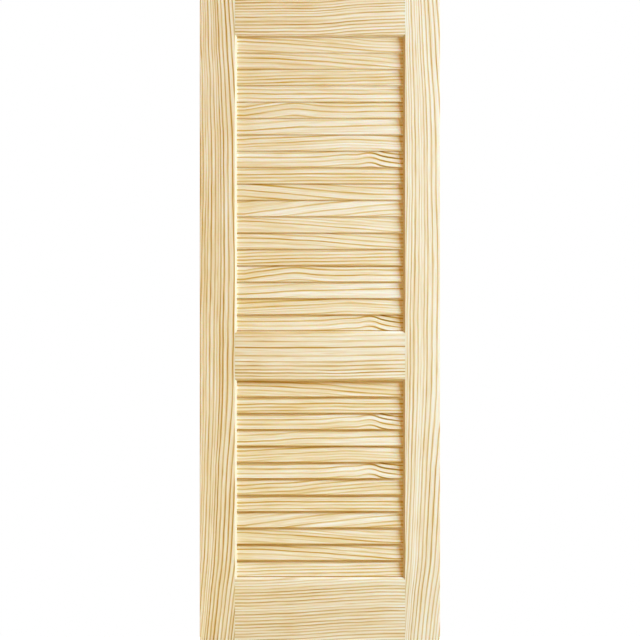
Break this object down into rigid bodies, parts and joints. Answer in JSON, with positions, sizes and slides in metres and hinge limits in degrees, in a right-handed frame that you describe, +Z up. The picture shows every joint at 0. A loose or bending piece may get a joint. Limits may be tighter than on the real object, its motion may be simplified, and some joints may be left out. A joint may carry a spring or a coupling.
{
  "type": "louvred door",
  "caption": "Bare pine louvred door slab with stiles, rails and fixed, overlapping slats in an upper and a lower opening.",
  "frame": {"origin": "middle of the bottom edge, halfway through the thickness", "axes": "+Z up, +X to the right seen from the front, +Y through to the back"},
  "size_m": [0.762, 0.035, 2.032],
  "materials": {
    "stile_pine": "bare sanded pine, grain upright",
    "rail_pine": "bare sanded pine, grain across the door",
    "slat_pine": "bare sanded pine, grain along the slat",
    "dowel_beech": "plain turned hardwood"
  },
  "bodies": {
    "root": {"left_stile": "stile_pine", "right_stile": "stile_pine", "top_rail": "rail_pine", "mid_rail": "rail_pine", "bottom_rail": "rail_pine", "upper_slat_01": "slat_pine", "upper_slat_02": "slat_pine", "upper_slat_03": "slat_pine", "upper_slat_04": "slat_pine", "upper_slat_05": "slat_pine", "upper_slat_06": "slat_pine", "upper_slat_07": "slat_pine", "upper_slat_08": "slat_pine", "upper_slat_09": "slat_pine", "upper_slat_10": "slat_pine", "upper_slat_11": "slat_pine", "upper_slat_12": "slat_pine", "upper_slat_13": "slat_pine", "upper_slat_14": "slat_pine", "upper_slat_15": "slat_pine", "upper_slat_16": "slat_pine", "upper_slat_17": "slat_pine", "upper_slat_18": "slat_pine", "lower_slat_01": "slat_pine", "lower_slat_02": "slat_pine", "lower_slat_03": "slat_pine", "lower_slat_04": "slat_pine", "lower_slat_05": "slat_pine", "lower_slat_06": "slat_pine", "lower_slat_07": "slat_pine", "lower_slat_08": "slat_pine", "lower_slat_09": "slat_pine", "lower_slat_10": "slat_pine", "lower_slat_11": "slat_pine", "lower_slat_12": "slat_pine", "top_rail_dowels_left": "dowel_beech", "top_rail_dowels_right": "dowel_beech", "mid_rail_dowels_left": "dowel_beech", "mid_rail_dowels_right": "dowel_beech", "bottom_rail_dowels_left": "dowel_beech", "bottom_rail_dowels_right": "dowel_beech"}
  },
  "joints": []
}
